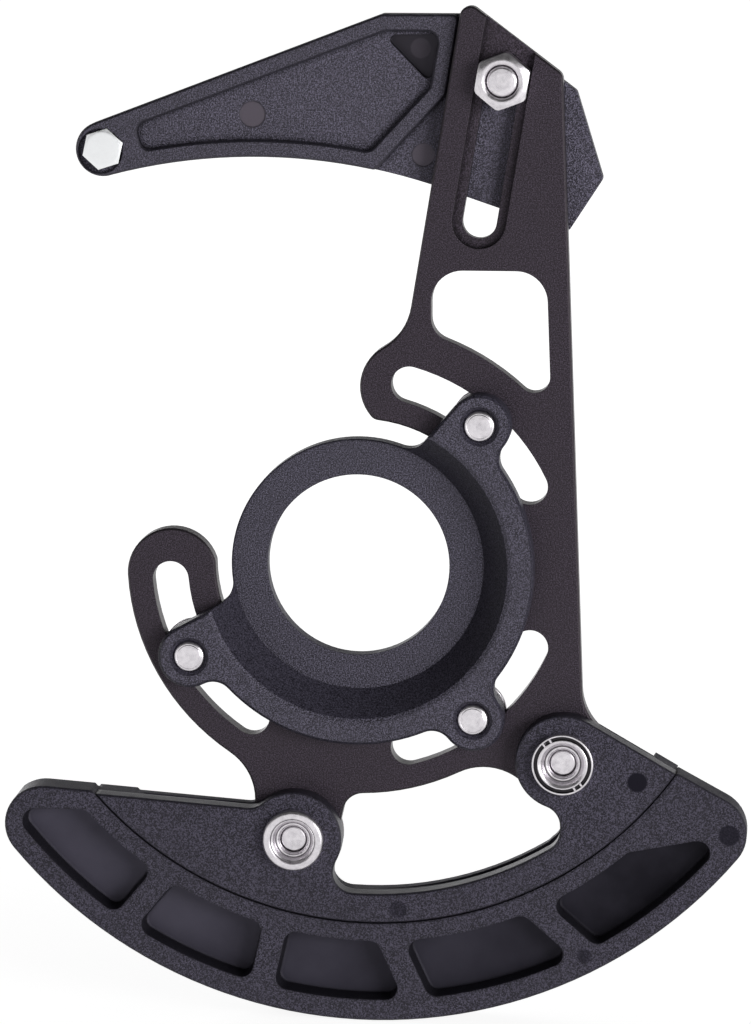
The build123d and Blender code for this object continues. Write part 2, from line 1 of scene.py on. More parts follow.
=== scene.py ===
import bpy
import numpy as np
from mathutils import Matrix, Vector


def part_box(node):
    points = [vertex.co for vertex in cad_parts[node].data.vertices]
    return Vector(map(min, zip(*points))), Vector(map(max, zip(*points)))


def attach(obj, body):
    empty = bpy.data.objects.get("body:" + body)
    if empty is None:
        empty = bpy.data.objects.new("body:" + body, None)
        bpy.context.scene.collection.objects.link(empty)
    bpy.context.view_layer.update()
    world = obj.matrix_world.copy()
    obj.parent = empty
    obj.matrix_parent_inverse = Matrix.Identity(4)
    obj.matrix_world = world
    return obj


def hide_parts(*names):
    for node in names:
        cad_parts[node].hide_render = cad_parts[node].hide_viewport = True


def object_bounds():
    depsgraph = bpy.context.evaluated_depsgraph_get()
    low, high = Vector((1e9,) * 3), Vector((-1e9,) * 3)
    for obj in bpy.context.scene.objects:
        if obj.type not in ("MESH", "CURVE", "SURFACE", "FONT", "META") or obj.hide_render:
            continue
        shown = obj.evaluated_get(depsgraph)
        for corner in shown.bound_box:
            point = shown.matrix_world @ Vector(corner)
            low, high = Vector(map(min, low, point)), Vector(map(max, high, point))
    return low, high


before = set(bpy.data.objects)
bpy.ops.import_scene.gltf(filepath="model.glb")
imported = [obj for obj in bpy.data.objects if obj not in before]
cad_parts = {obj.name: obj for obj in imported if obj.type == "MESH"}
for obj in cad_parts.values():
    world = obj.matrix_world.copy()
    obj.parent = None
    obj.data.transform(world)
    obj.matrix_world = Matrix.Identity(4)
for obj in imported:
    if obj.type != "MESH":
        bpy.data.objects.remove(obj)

cad_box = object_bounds()


# Bottom bracket adapter: a dished ring with three bolt lugs that seats on the frame's shell.
# It is injection moulded in glass-filled black nylon, and the mould was spark eroded,
# which leaves an even pebbled grain on each face.
def wired(tree, kind, feeds=None, **menus):
    """One shader node: menus are its settings, and feeds are its sockets, each a value or another
    node's output."""
    node = tree.nodes.new("ShaderNode" + kind)
    for name, value in menus.items():
        setattr(node, name, value)
    for name, value in (feeds or {}).items():
        if isinstance(value, bpy.types.NodeSocket):
            tree.links.new(value, node.inputs[name])
        else:
            node.inputs[name].default_value = value
    return node


def ranged(tree, value, start, stop, low=0.0, high=1.0, curve="LINEAR"):
    """Value carried from the span start to stop onto the span low to high, and held at its ends."""
    feeds = {"Value": value, "From Min": start, "From Max": stop, "To Min": low, "To Max": high}
    return wired(tree, "MapRange", feeds, interpolation_type=curve).outputs[0]


def reckoned(tree, operation, *values):
    """Result of one operation on numbers or other nodes' outputs."""
    return wired(tree, "Math", dict(enumerate(values)), operation=operation).outputs[0]


def scaled(tree, colour, amount):
    """Colour times an amount."""
    return wired(tree, "VectorMath", {0: colour, "Scale": amount}, operation="SCALE").outputs[0]


def blended(tree, share, first, second):
    """Colour between first, at share 0, and second, at share 1, each a triple or a node's output."""
    ends = [(*end, 1) if isinstance(end, tuple) else end for end in (first, second)]
    return wired(tree, "Mix", {0: share, 6: ends[0], 7: ends[1]}, data_type="RGBA").outputs[2]


def two_tone(tree, share, stops, colours):
    """Colour that goes from the first of two colours to the second as share goes between two stops."""
    ramp = wired(tree, "ValToRGB", {"Fac": share})
    for element, stop, colour in zip(ramp.color_ramp.elements, stops, colours):
        element.position = stop
        element.color = (*colour, 1)
    return ramp.outputs[0]


def noise(tree, place, scale, detail, roughness, distortion=0.0):
    """Noise in space with about scale waves to the metre."""
    feeds = {"Vector": place, "Scale": scale, "Detail": detail, "Roughness": roughness}
    return wired(tree, "TexNoise", {**feeds, "Distortion": distortion}).outputs[0]


def sheltered(tree, reach, start, stop, low=0.0):
    """1 in the open, down to low where the piece's own surface stands within reach, in mm."""
    feeds = {"Distance": reach / 1000}
    clear = wired(tree, "AmbientOcclusion", feeds, samples=4, only_local=True).outputs["AO"]
    return ranged(tree, clear, start, stop, low)


def dulled(tint, gleam):
    """Tint of a sheen, times its gleam."""
    return tuple(part * gleam for part in tint)


def round_marks(tree, place, spots):
    """Strength inside any of the round spots (x, z, radius in mm, strength), which go through the piece
    along Y, and 0 outside, with a soft rim between."""
    soft = 0.2
    flat = wired(tree, "VectorMath", {0: place, 1: (1, 0, 1)}, operation="MULTIPLY").outputs[0]
    whole = 0.0
    for x, z, radius, strength in spots:
        middle = (x / 1000, 0, z / 1000)
        gap = wired(tree, "VectorMath", {0: flat, 1: middle}, operation="DISTANCE").outputs["Value"]
        rim = (radius + soft) / 1000, (radius - soft) / 1000
        disc = ranged(tree, gap, *rim, 0.0, strength, "SMOOTHSTEP")
        whole = reckoned(tree, "MAXIMUM", whole, disc)
    return whole


def grained_black(name, low, high, wall, skin, wall_gleam, wall_gloss, drawn, gleam, tint, grain, relief,
                  gloss, edge, edge_colour, marks=None, rim=None, sunk=None):
    """Black surface whose faces across Y have a grain of the given size and relief in mm: its tops take the
    colour high and its hollows the colour low, the grain's tone with painted light on the tops and painted
    shade in the hollows, and gloss is its lowest and highest roughness. Walls, whose normal has less than
    drawn along Y, are finer, with the colour wall, painted shade, in a recess and skin outside. Rounded edges
    take edge_colour, and corners are painted darker, as dust and painted shade. The front may have smooth
    round marks (spots, colour, gleam), a rim (start, stop, shade) that is rubbed darker, and past a depth a
    smooth floor, sunk (depth, ends, colours, gleams), whose colour and gleam change along X between its ends,
    as painted light and shade."""
    material = bpy.data.materials.new(name)
    material.use_nodes = True
    tree = material.node_tree
    shader = tree.nodes["Principled BSDF"]
    shader.inputs["Specular IOR Level"].default_value = gleam
    place = wired(tree, "TexCoord").outputs["Object"]
    along, inward, _ = wired(tree, "SeparateXYZ", {0: place}).outputs
    pebble = noise(tree, place, 1000 / grain, 2.0, 0.6, 0.2)
    cloud = noise(tree, place, 70.0, 4.0, 0.6)

    turn_width = 0.2
    eased = wired(tree, "Bevel", {"Radius": edge / 1000}, samples=4).outputs[0]
    flat = wired(tree, "NewGeometry").outputs["True Normal"]
    across = wired(tree, "SeparateXYZ", {0: flat}).outputs[1]
    face = ranged(tree, reckoned(tree, "ABSOLUTE", across), drawn - turn_width, drawn)
    front = ranged(tree, across, turn_width - drawn, -drawn)
    # outer is 1 in the open and falls inside recesses, where walls are painted in the darker colour wall as
    # painted shade.
    outer = sheltered(tree, 8.0, 0.75, 0.97)
    # corner falls where the piece's own surfaces meet: corners are painted darker, as dust and painted shade.
    corner = sheltered(tree, 1.1, 0.35, 0.9, low=0.25)

    patch = ranged(tree, cloud, 0.3, 0.7, 0.8, 1.2)
    if rim:
        rubbed = ranged(tree, inward, rim["start"] / 1000, rim["stop"] / 1000, low=rim["shade"])
        patch = reckoned(tree, "MULTIPLY", patch, rubbed)
    # The grain's colour follows its height: the grain's tone, with painted light on its tops and painted
    # shade in its hollows.
    grained = scaled(tree, two_tone(tree, pebble, (0.44, 0.63), (low, high)), patch)
    speckle = ranged(tree, pebble, 0.36, 0.70, 0.3, 2.0)
    # Walls in a recess take wall, painted shade; walls in the open take skin.
    side = scaled(tree, blended(tree, outer, wall, skin), speckle)
    colour = blended(tree, face, side, grained)
    sheen = blended(tree, face, dulled(tint, wall_gleam), tint)
    # The sheen is taken out in corners: painted shade on the reflection.
    sheen = blended(tree, corner, (0, 0, 0), sheen)
    rough = ranged(tree, cloud, 0.3, 0.7, *gloss)
    rough = reckoned(tree, "MULTIPLY", rough, ranged(tree, face, 0, 1, low=wall_gloss))
    height = ranged(tree, face, 0, 1, low=0.4)

    # Past the depth, the front faces take a colour and sheen that change along X: painted light and shade.
    if sunk:
        soft = 0.15
        step = (sunk["depth"] - soft) / 1000, (sunk["depth"] + soft) / 1000
        floor = reckoned(tree, "MULTIPLY", ranged(tree, inward, *step), front)
        share = ranged(tree, along, sunk["ends"][0] / 1000, sunk["ends"][1] / 1000)
        floor_jitter = reckoned(tree, "SUBTRACT", cloud, 0.5)
        share = reckoned(tree, "MULTIPLY_ADD", floor_jitter, 0.5, share)
        films = [dulled(tint, film) for film in sunk["gleams"]]
        colour = blended(tree, floor, colour, blended(tree, share, *sunk["colours"]))
        sheen = blended(tree, floor, sheen, blended(tree, share, *films))
        height = reckoned(tree, "MULTIPLY", height, ranged(tree, floor, 0, 1, 1.0, 0.06))
    if marks:
        spot = reckoned(tree, "MULTIPLY", round_marks(tree, place, marks["spots"]), front)
        colour = blended(tree, spot, colour, marks["colour"])
        sheen = blended(tree, spot, sheen, dulled(tint, marks["gleam"]))
        height = reckoned(tree, "MULTIPLY", height, ranged(tree, spot, 0, 1, 1.0, 0.25))

    bend = wired(tree, "VectorMath", {0: eased, 1: flat}, operation="DOT_PRODUCT").outputs["Value"]
    worn = reckoned(tree, "MULTIPLY", ranged(tree, bend, 0.99, 0.80), cloud)
    colour = blended(tree, worn, colour, edge_colour)
    # Corners are painted near black, as dust and painted shade.
    colour = blended(tree, corner, (0.001, 0.001, 0.001), colour)
    feeds = {"Strength": height, "Distance": relief / 1000, "Height": pebble, "Normal": eased}
    tree.links.new(colour, shader.inputs["Base Color"])
    tree.links.new(rough, shader.inputs["Roughness"])
    tree.links.new(sheen, shader.inputs["Specular Tint"])
    tree.links.new(wired(tree, "Bump", feeds).outputs[0], shader.inputs["Normal"])
    return material


def finish_node(node, material):
    """Gives a CAD node's object its finish."""
    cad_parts[node].data.materials.clear()
    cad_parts[node].data.materials.append(material)


nylon = dict(
    # low and high are the grain's tone, with painted shade in its hollows and painted light on its tops.
    low=(0.0010, 0.0009, 0.0016), high=(0.1850, 0.1720, 0.2380),
    # wall, far darker than skin, is painted shade on the walls inside recesses.
    wall=(0.0055, 0.0051, 0.0075), skin=(0.0260, 0.0240, 0.0330), wall_gleam=0.7, wall_gloss=0.95, drawn=0.9,
    gleam=0.66, tint=(0.87, 0.82, 1.0), grain=0.27, relief=0.22, gloss=(0.44, 0.56),
    edge=0.45, edge_colour=(0.040, 0.038, 0.048),
)
dish_wall = (0.0540, 0.0500, 0.0700)
adapter_nylon = dict(nylon, wall=dish_wall, skin=dish_wall, wall_gleam=0.03)
finish_node("bb_adapter", grained_black("adapter_nylon", **adapter_nylon))

# Backplate: a 4 mm aluminium plate with an arm for the upper guide and two tabs for the bash guard.
# It is cut and milled, bead blasted to a fine matt grain, and anodised black.
anodised = dict(
    # low and high are the grain's tone, with painted shade in its hollows and painted light on its tops.
    low=(0.0030, 0.0022, 0.0029), high=(0.0920, 0.0740, 0.1020),
    # wall, darker than skin, is painted shade on the walls inside recesses.
    wall=(0.0080, 0.0070, 0.0080), skin=(0.0180, 0.0150, 0.0180), wall_gleam=1.0, wall_gloss=0.75, drawn=0.9,
    gleam=0.45, tint=(1.0, 0.86, 1.0), grain=0.25, relief=0.10, gloss=(0.46, 0.60),
    edge=0.25, edge_colour=(0.034, 0.030, 0.033),
)
finish_node("backplate", grained_black("anodised_black", **anodised))


# Bolts and washers that hold the backplate to the adapter's lugs: three M6 button heads with hex sockets.
# They are turned and rolled from steel and bright zinc plated, and their ends come flush with the lugs.
def profile(points, ease, steps=5):
    """Rows (radius, y) of a turned outline in mm, in which each inner corner C is replaced by the curve
    (1-t)^2 A + 2t(1-t) C + t^2 B. A and B lie up to ease away from C, at most 0.45 of its two sides."""
    most = 0.45
    points = np.asarray(points, float)
    before, corner, after = points[:-2], points[1:-1], points[2:]
    to_before, to_after = before - corner, after - corner
    length_before = np.linalg.norm(to_before, axis=1, keepdims=True)
    length_after = np.linalg.norm(to_after, axis=1, keepdims=True)
    start = corner + to_before / length_before * np.minimum(ease, most * length_before)
    stop = corner + to_after / length_after * np.minimum(ease, most * length_after)
    t = np.linspace(0, 1, steps)[None, :, None]
    curve = (1 - t) ** 2 * start[:, None] + 2 * t * (1 - t) * corner[:, None] + t**2 * stop[:, None]
    return np.vstack([points[:1], curve.reshape(-1, 2), points[-1:]])


def rows(points, flats=np.inf, darkening=0.0, pitch=0.0):
    """Adds to rows (radius, y) the width across flats of the hexagon that cuts them, how much darker they are
    painted and the pitch of their thread."""
    points = np.asarray(points, float)
    return np.column_stack([points, np.tile((flats, darkening, pitch), (len(points), 1))])


def thread(radius, start, stop, pitch):
    """Rows of a rolled thread along Y, eight to a pitch."""
    count = int(round(8 * abs(stop - start) / pitch, 6)) + 1
    return rows(np.linspace((radius, start), (radius, stop), count), darkening=0.35, pitch=pitch)


def turned(outline, centre, start, turn=0.0, sides=96, closed=False, dip=None):
    """Turned or hexagonal piece round the axis (x, z) = centre, its rows counted along Y from the depth
    start. On a row at angle a the radius is the smaller of the row's own and
    (flats / 2) / cos(((a - turn) mod 60) - 30), less 0.6 pitch times a triangle wave of y / pitch + a / 360
    where the row has a thread. dip(radius, a, y, darkening) gives the depths and the darkening anew. Returns
    points, blocks of faces, radii and darkening."""
    row_radius, row_y, row_flats, row_darkening, row_pitch = np.asarray(outline, float).T[:, :, None]
    nudge = 1e-9
    a = turn + np.arange(sides) * 360.0 / sides
    hexagon = 1 / np.cos(np.radians(((a - turn + nudge) % 60) - 30))
    y = np.repeat(row_y, sides, axis=1)
    wave = np.abs(2 * (((start + y) / np.where(row_pitch, row_pitch, 1) + a / 360) % 1) - 1)
    radius = np.minimum(row_radius, row_flats / 2 * hexagon) - 0.6 * row_pitch * wave
    darkening = np.repeat(row_darkening, sides, axis=1)
    if dip is not None:
        y, darkening = dip(radius, a, y, darkening)
    x = centre[0] + radius * np.cos(np.radians(a))
    z = centre[1] + radius * np.sin(np.radians(a))
    points = np.stack([x, start + y, z], axis=-1).reshape(-1, 3)
    index = np.arange(len(points)).reshape(-1, sides)
    keep = np.ones(len(points), bool)
    if closed:
        index = np.vstack([index, index[:1]])
    else:
        index[0], index[-1] = index[0, 0], index[-1, 0]
        keep[1:sides] = False
        keep[len(keep) - sides + 1:] = False
    index = (np.cumsum(keep) - 1)[index]
    points, radius, darkening = points[keep], radius.reshape(-1)[keep], darkening.reshape(-1)[keep]
    across = np.roll(index, -1, axis=1)
    quads = np.stack([index[:-1], index[1:], across[1:], across[:-1]], axis=-1).reshape(-1, 4)
    corners = points[quads] - points.mean(axis=0)
    volume = np.einsum("ij,ij->", corners[:, 0], np.cross(corners[:, 1], corners[:, 2]))
    volume += np.einsum("ij,ij->", corners[:, 0], np.cross(corners[:, 2], corners[:, 3]))
    quads = quads if volume > 0 else quads[:, ::-1]
    if closed:
        return points, [quads], radius, darkening
    first_cap, last_cap = quads[:sides, 1:], quads[-sides:, [0, 1, 3]]
    return points, [quads[sides:-sides], first_cap, last_cap], radius, darkening


def bright_zinc(name, colour, stain, gloss):
    """Zinc plated steel: fine rings of the turning tool round the axis, a mottled passivated sheen, and
    colour painted darker in the recesses. Reads each point's radius and darkening from the piece."""
    material = bpy.data.materials.new(name)
    material.use_nodes = True
    tree = material.node_tree
    shader = tree.nodes["Principled BSDF"]
    shader.inputs["Metallic"].default_value = 1
    place = wired(tree, "TexCoord").outputs["Object"]
    radius = wired(tree, "Attribute", attribute_name="lathe_radius").outputs["Fac"]
    darkening = wired(tree, "Attribute", attribute_name="darkening").outputs["Fac"]
    feeds = {"W": radius, "Scale": 9.0, "Detail": 3.0, "Roughness": 0.7}
    ring = wired(tree, "TexNoise", feeds, noise_dimensions="1D").outputs[0]
    cloud = noise(tree, place, 900.0, 4.0, 0.65)
    fleck = noise(tree, place, 3600.0, 2.0, 0.6)
    mottle = two_tone(tree, reckoned(tree, "MULTIPLY", cloud, ring), (0.10, 0.34), (stain, colour))
    # Where a row's darkening is high, in threads, sockets, bores and grooves, the colour is painted towards
    # near black.
    darkened = blended(tree, darkening, mottle, (0.030, 0.028, 0.031))
    rough = ranged(tree, cloud, 0.25, 0.75, *gloss)
    feeds = {"Strength": 0.6, "Distance": 0.000022, "Height": reckoned(tree, "ADD", ring, fleck)}
    tree.links.new(darkened, shader.inputs["Base Color"])
    tree.links.new(rough, shader.inputs["Roughness"])
    tree.links.new(wired(tree, "Bump", feeds).outputs[0], shader.inputs["Normal"])
    return material


def fastener(name, node, solids, material):
    """Puts turned solids into one mesh that stands for a CAD node, with each point's radius and darkening."""
    points, blocks, radii, darkenings = zip(*solids)
    starts = np.cumsum([0] + [len(part) for part in points])
    moved = [block + start for start, solid in zip(starts, blocks) for block in solid]
    mesh = bpy.data.meshes.new(name)
    mesh.from_pydata((np.vstack(points) / 1000).tolist(), [], sum((block.tolist() for block in moved), []))
    for attribute, values in (("lathe_radius", radii), ("darkening", darkenings)):
        layer = mesh.attributes.new(attribute, "FLOAT", "POINT")
        layer.data.foreach_set("value", np.concatenate(values).astype(np.float32))
    piece = bpy.data.objects.new(name, mesh)
    bpy.context.collection.objects.link(piece)
    sharp_edge = np.radians(32)
    mesh.shade_smooth()
    mesh.set_sharp_from_angle(angle=sharp_edge)
    mesh.materials.append(material)
    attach(piece, "root")
    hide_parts(node)
    return piece


def depths(node):
    """Front and back of a CAD node along Y, in mm."""
    return [round(1000 * corner[1], 4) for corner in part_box(node)]


def on_circle(radius, angles):
    """Places (x, z) round the bottom bracket's axis, at angles in degrees."""
    return radius * np.column_stack([np.cos(np.radians(angles)), np.sin(np.radians(angles))])


def washer(inner, outer, thickness):
    """Rows of a punched flat washer, rolled round on its edges."""
    middle = (inner + outer) / 2
    corners = [(outer, 0), (outer, thickness), (inner, thickness), (inner, 0)]
    return rows(profile([(middle, 0), *corners, (middle, 0)], 0.32)[:-1])


def button_head(seat, radius, height, crown, socket, sink):
    """Rows from under a button head, over its crown, a quarter circle, and down its hex socket to the
    drill point on the axis."""
    top = seat + height
    floor = top - sink
    t = np.linspace(0, np.pi / 2, 12)
    dome = np.column_stack([radius - crown + crown * np.cos(t), top - crown + crown * np.sin(t)])
    socket_wall = [(radius, top - 0.25), (radius, top - sink * 0.5), (radius, floor + 0.15)]
    return np.vstack([
        rows([(radius - 0.35, seat), (radius - 0.1, seat + 0.05), (radius, seat + 0.3)]),
        rows(dome),
        rows([(socket * 0.66, top - 0.01)]),
        rows([(radius, top - 0.02)], flats=socket + 0.28, darkening=0.1),
        rows(socket_wall, flats=socket, darkening=0.45),
        rows([(radius, floor)], flats=socket - 0.2, darkening=0.7),
        rows([(socket * 0.32, floor - 0.05), (0, floor - 0.05 - socket * 0.18)], darkening=0.7),
    ])


def button_bolt(end, radius, pitch, start, stop, seat, head, fillet=0.1):
    """Rows of a button-head bolt: its end, a thread from start to stop, a plain shank with a fillet under the
    head's seat, and the head."""
    shank = [(radius - 0.02, stop + 0.2), (radius - 0.02, seat - fillet), (radius + 0.2, seat)]
    return np.vstack([end, thread(radius, start, stop, pitch), rows(shank), button_head(seat, **head)])


zinc = bright_zinc("bright_zinc", colour=(0.78, 0.75, 0.78), stain=(0.48, 0.46, 0.49), gloss=(0.24, 0.40))
bolt_circle = 73.0
lugs_at = on_circle(bolt_circle / 2, (49.8, -52.0, -151.5))
plate_back, seat = depths("adapter_washers")
m6_washer = washer(inner=3.25, outer=6.0, thickness=seat - plate_back)
fastener("adapter_flat_washers", "adapter_washers", [
    turned(m6_washer, at, plate_back, closed=True) for at in lugs_at
], zinc)
m6 = dict(
    radius=3.0, pitch=1.0, head=dict(radius=5.25, height=3.3, crown=2.2, socket=4.0, sink=2.0),
)
tip, _ = depths("adapter_bolts")
lug_end = rows(profile([
    (0, 0.02), (1.5, 0.01), (2.2, 0.06), (2.32, 0.18), (2.44, 0.12), (2.72, 0.26), (2.98, 0.58), (3.0, 0.8),
], 0.06))
adapter_bolt = button_bolt(lug_end, start=0.8, stop=7.8, seat=seat - tip, fillet=0.08, **m6)
first_turn, turn_step = 17.0, 31.0
fastener("adapter_button_bolts", "adapter_bolts", [
    turned(adapter_bolt, at, tip, turn=first_turn + turn_step * i) for i, at in enumerate(lugs_at)
], zinc)

# Upper guide: two moulded nylon halves that the chain runs between, the inner one with a raised rim round
# a sunk floor. Lighter round spots show where the ejector pins pushed it out of the mould.
guide_nylon = dict(nylon, high=(0.2250, 0.2080, 0.2880), gleam=0.74)
guide_marks = dict(
    spots=[(-20.34, 85.95, 2.5, 1.0), (12.16, 78.45, 2.2, 1.0), (11.5, 98.5, 1.9, 0.3)],
    colour=(0.120, 0.102, 0.125), gleam=1.0,
)
rubbed_rim = dict(start=0.8, stop=1.9, shade=0.70)
# Front faces deeper than 3.3 mm, the triangular pocket's floor, are painted near black with less sheen:
# painted shade.
pocket_shade_black = (0.010, 0.008, 0.010)
guide_pocket_shade = dict(depth=3.3, ends=(-100, 100), colours=(pocket_shade_black, pocket_shade_black), gleams=(0.62, 0.62))
finish_node("upper_guide_inner", grained_black(
    "guide_nylon", marks=guide_marks, rim=rubbed_rim, sunk=guide_pocket_shade, **guide_nylon,
))
finish_node("upper_guide_outer", grained_black("guide_cover_nylon", **guide_nylon))


# Hex bolt at the guide's tip: an M4 cold-headed bolt whose head lies in a hex pocket of the inner half.
# It is bright zinc plated, with a flat face and a light chamfer on its corners.
def axis_of(node):
    """Place (x, z) of the middle of a CAD node, in mm."""
    low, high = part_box(node)
    return [round(500 * (low[i] + high[i]), 4) for i in (0, 2)]


plated = bright_zinc("clear_zinc", colour=(0.86, 0.87, 0.88), stain=(0.80, 0.81, 0.82), gloss=(0.30, 0.42))
head_front, _ = depths("guide_tip_bolt")
head_flats = 7.0
tip_head = np.vstack([
    rows([(0, 0.02), (2.9, 0.02), (3.25, 0.03)]),
    rows(np.linspace((3.3, 0.045), (4.15, 0.20), 10), flats=head_flats),
    rows([(4.15, 1.3), (4.15, 2.6), (4.0, 2.8)], flats=head_flats),
    rows([(2.05, 2.8), (2.0, 3.0), (2.0, 7.7)]),
    thread(radius=2.0, start=7.9, stop=17.6, pitch=0.7),
    rows([(1.7, 17.9), (1.5, 18.2), (0, 18.2)]),
])
fastener("guide_tip_hex_bolt", "guide_tip_bolt", [
    turned(tip_head, axis_of("guide_tip_bolt"), head_front, turn=17.8),
], plated)

# Clamp bolt of the upper guide: an M6 button head with a washer behind, and a hex nut in the arm's
# sunk track. All are zinc plated steel. The nut has a broad chamfer, and the bolt ends just inside its face.
clamp_at = axis_of("upper_clamp_nut")
guide_back, seat = depths("upper_clamp_washer")
fastener("clamp_flat_washer", "upper_clamp_washer", [
    turned(m6_washer, clamp_at, guide_back, closed=True),
], zinc)
tip, _ = depths("upper_clamp_bolt")
clamp_end = np.vstack([
    rows(profile([(0, -0.1), (1.5, -0.12), (2.45, -0.04), (2.76, 0.14), (2.96, 0.44)], 0.12)),
    rows([(2.98, 0.7)], darkening=0.2),
])
clamp_bolt = button_bolt(clamp_end, start=1.0, stop=16.5, seat=seat - tip, **m6)
fastener("clamp_button_bolt", "upper_clamp_bolt", [turned(clamp_bolt, clamp_at, tip, turn=12.0)], zinc)
nut_front, nut_back = depths("upper_clamp_nut")
nut_height = nut_back - nut_front
nut_flats = 9.75
nut = np.vstack([
    rows([(3.15, nut_height), (4.6, nut_height)]),
    rows(np.linspace((4.75, nut_height - 0.02), (5.45, nut_height - 0.4), 8), flats=nut_flats),
    rows([(5.5, 3.7), (5.5, 2.5), (5.48, 1.3)], flats=nut_flats),
    rows(np.linspace((5.42, 0.7), (4.6, 0.24), 14), flats=nut_flats),
    rows([(4.5, 0.2), (4.3, 0.12), (4.1, 0.04), (3.85, 0), (3.6, 0.04)]),
    rows([(3.3, 0.24), (3.14, 0.48)], darkening=0.05),
    rows([(3.06, 0.9), (3.06, 3.9)], darkening=0.35),
])
fastener("clamp_hex_nut", "upper_clamp_nut", [
    turned(nut, clamp_at, nut_front, turn=80.6, sides=144, closed=True),
], zinc)

# Bash guard: a crescent of black nylon under the chainring with five sunk pockets along its skid.
# The pockets' floors were polished in the mould, and two small dull discs are the ejector pins' marks.
# The floors are painted lighter, with a strong painted sheen, at the left end, and darker, with little sheen,
# at the right end: painted light and shade.
bash_nylon = dict(nylon, high=(0.1380, 0.1270, 0.1800), gleam=0.47, edge=0.9, wall_gloss=1.25)
dull_marks = dict(colour=(0.0035, 0.0030, 0.0075), gleam=0.40)
skid_marks = dict(dull_marks, spots=[(71.6, -50.3, 2.0, 0.85), (44.1, -74.6, 1.4, 0.6)])
# Pocket floors: painted light and sheen at x = -58 mm, fading to painted shade at x = 62 mm.
pocket_floor_light = dict(
    depth=-2.4, ends=(-58, 62), gleams=(1.3, 0.38),
    colours=((0.0700, 0.0650, 0.0920), (0.0070, 0.0065, 0.0100)),
)
finish_node("bash_body", grained_black("bash_nylon", marks=skid_marks, sunk=pocket_floor_light, **bash_nylon))

# Clamp plate of the bash guard: a nylon plate that closes the guard over the backplate's two tabs.
# It is moulded like the rest and meets the crescent along a fine curved seam.
clamp_nylon = dict(bash_nylon, wall_gloss=0.8)
clamp_marks = dict(dull_marks, spots=[(54.0, -40.3, 1.9, 1.0), (8.2, -66.3, 1.7, 0.6)])
finish_node("bash_clamp_plate", grained_black("clamp_nylon", marks=clamp_marks, **clamp_nylon))

# Bolts, washers and flanged sleeve nuts that clamp the guard on the tabs: M5 button heads screwed from
# behind. The nuts are turned steel cups, zinc plated, and the bolts' ends stand deep inside them.
tab_reach = 54.2
ears_at = on_circle(tab_reach, (-102.8, -42.8))
guard_back, seat = depths("bash_washers")
m5_washer = washer(inner=2.75, outer=5.0, thickness=seat - guard_back)
fastener("bash_flat_washers", "bash_washers", [
    turned(m5_washer, at, guard_back, closed=True) for at in ears_at
], zinc)
m5 = dict(
    radius=2.5, pitch=0.8, head=dict(radius=4.75, height=2.75, crown=1.8, socket=3.0, sink=1.6),
)
tip, _ = depths("bash_bolts")
sleeve_end = np.vstack([
    rows(profile([(0, 0.9), (1.3, 0.9), (2.2, 0.96), (2.4, 1.12), (2.49, 1.4)], 0.15)),
    rows([(2.49, 1.8), (2.49, 2.2)], darkening=0.2),
])
bash_bolt = button_bolt(sleeve_end, start=2.5, stop=9.7, seat=seat - tip, **m5)
first_turn, turn_step = 8.0, 25.0
fastener("bash_button_bolts", "bash_bolts", [
    turned(bash_bolt, at, tip, turn=first_turn + turn_step * i) for i, at in enumerate(ears_at)
], zinc)
nut_front, nut_back = depths("bash_nuts")
sleeve_length = nut_back - nut_front
sleeve = rows([(2.6, sleeve_length), (3.5, sleeve_length), (3.7, sleeve_length - 0.2), (3.7, 2.1)])
sleeve_bore = rows([(2.57, 2.2), (2.55, 2.9), (2.55, 4.1)], darkening=0.3)
domed_nut = np.vstack([
    sleeve,
    rows(profile([(3.8, 2.0), (5.9, 2.0), (5.9, 0.6), (5.5, 0.1), (4.6, 0), (4.4, 0.1)], 0.25)),
    rows([(4.32, 0.3), (4.24, 0.4)], darkening=0.6),
    rows(profile([(4.14, 0.36), (3.9, 0.5), (3.56, 1.1), (3.46, 1.3)], 0.1)),
    rows([(3.4, 1.5), (3.34, 1.55)], darkening=0.6),
    rows(profile([(3.26, 1.44), (3.05, 1.4), (2.8, 1.65), (2.64, 1.9)], 0.12)),
    sleeve_bore,
])
grooved_nut = np.vstack([
    sleeve,
    rows(profile([(3.8, 2.0), (5.9, 2.0), (5.9, 0.14), (5.78, 0), (5.54, 0)], 0.08)),
    # The groove is painted near black.
    rows([(5.49, 0.06), (5.46, 0.4), (5.4, 0.6), (4.94, 0.6), (4.86, 0.4)], darkening=1.0),
    rows(profile([(4.8, 0.2), (4.6, 0.08), (4.1, 0.4), (3.6, 1.2)], 0.2)),
    rows([(3.5, 1.48), (3.4, 1.56)], darkening=0.7),
    rows(profile([(3.28, 1.44), (3.05, 1.4), (2.8, 1.65), (2.64, 1.9)], 0.12)),
    sleeve_bore,
])


def spanner_slots(radius, angle, y, darkening):
    """Depths and darkening of the grooved nut with its two spanner slots: beside the line at 125 degrees, a
    wall without the darkening, from 0.5 to 1 mm away from it, crosses the groove on each side."""
    slots_at, wall_top, ramp = 125.0, 0.06, 0.08
    aside = np.abs(radius * np.sin(np.radians(angle - slots_at)))
    near, far = np.clip((aside - 0.46) / ramp, 0, 1), np.clip((1.06 - aside) / ramp, 0, 1)
    wall = near * far * ((radius > 4.8) & (radius < 5.5))
    return y + wall * (wall_top - y), darkening * (1 - wall)


fastener("bash_sleeve_nuts", "bash_nuts", [
    turned(domed_nut, ears_at[0], nut_front, sides=144, closed=True),
    turned(grooved_nut, ears_at[1], nut_front, sides=432, closed=True, dip=spanner_slots),
], zinc)

